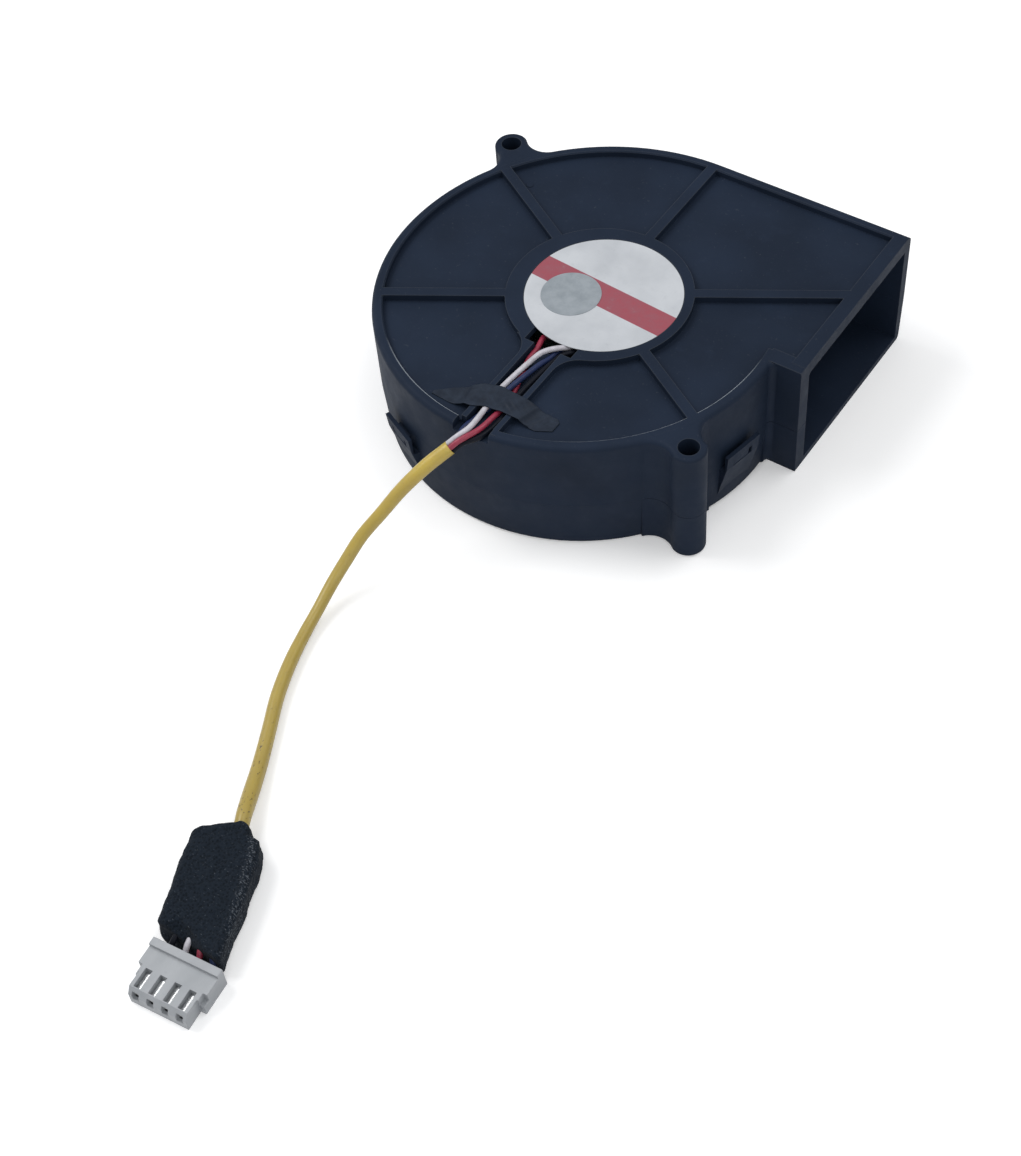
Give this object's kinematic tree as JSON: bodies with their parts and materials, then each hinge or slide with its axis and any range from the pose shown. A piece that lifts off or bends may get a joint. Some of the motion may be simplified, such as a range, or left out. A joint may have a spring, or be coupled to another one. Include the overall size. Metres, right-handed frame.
{
  "type": "centrifugal blower fan",
  "caption": "Flat scroll-shaped centrifugal blower with round underside inlet, rectangular side outlet, brushless motor, mounting ears and a sleeved wire lead with a connector.",
  "frame": {"origin": "rotor axis in the plane of the inlet face, on the underside of the cover", "axes": "+X out of the outlet, +Y towards the straight outer wall, +Z along the rotor axis from the inlet towards the label"},
  "size_m": [0.0969, 0.2226, 0.0306],
  "materials": {
    "housing_plastic": "fine moulded texture",
    "impeller_plastic": "moulded",
    "plated_steel": "drawn and plated",
    "magnet": "pressed ferrite",
    "brass": "turned",
    "bright_steel": "ground",
    "lamination": "stacked sheets",
    "insulator": "moulded",
    "winding": "enamelled copper wire",
    "board": "solder mask",
    "chip": "moulded",
    "capacitor": "sintered",
    "label_film": "satin film with a plain coloured band",
    "sticker": "satin film",
    "red_wire": "extruded",
    "white_wire": "extruded",
    "blue_wire": "extruded",
    "black_wire": "extruded",
    "tape": "thin adhesive tape",
    "yellow_sleeve": "soft extruded tubing",
    "foam": "soft open foam",
    "connector_plastic": "moulded",
    "contact": "tin plated"
  },
  "bodies": {
    "housing": {"housing_base": "housing_plastic", "housing_cover": "housing_plastic", "bearing_tube": "brass", "lower_outer_race": "bright_steel", "upper_outer_race": "bright_steel", "stator_core": "lamination", "lower_insulator": "insulator", "upper_insulator": "insulator", "coil_1": "winding", "coil_2": "winding", "coil_3": "winding", "coil_4": "winding", "circuit_board": "board", "driver_chip": "chip", "hall_sensor": "chip", "filter_capacitor": "capacitor", "label": "label_film", "round_sticker": "sticker", "wire_red": "red_wire", "wire_white": "white_wire", "wire_blue": "blue_wire", "wire_black": "black_wire", "wire_tape": "tape", "yellow_sleeve": "yellow_sleeve", "foam_wrap": "foam", "connector_housing": "connector_plastic", "terminal_1": "contact", "terminal_2": "contact", "terminal_3": "contact", "terminal_4": "contact"},
    "rotor": {"impeller": "impeller_plastic", "impeller_plate": "impeller_plastic", "impeller_blades": "impeller_plastic", "tie_ring": "impeller_plastic", "rotor_cup": "plated_steel", "rotor_magnet": "magnet", "shaft_bush": "brass", "shaft": "bright_steel", "lower_inner_race": "bright_steel", "upper_inner_race": "bright_steel", "preload_spring": "bright_steel", "shaft_clip": "bright_steel"},
    "bearing_balls": {"lower_balls": "bright_steel", "upper_balls": "bright_steel"}
  },
  "joints": [
    {"name": "impeller_spin", "type": "hinge", "parent": "housing", "child": "rotor", "pos_m": [0, 0, 0.015], "axis": [0, 0, 1], "continuous": true},
    {"name": "ball_orbit", "type": "hinge", "parent": "housing", "child": "bearing_balls", "pos_m": [0, 0, 0.015], "axis": [0, 0, 1], "continuous": true}
  ],
  "couplings": [
    {"joint": "ball_orbit", "follows": "impeller_spin", "ratio": 0.3636}
  ]
}
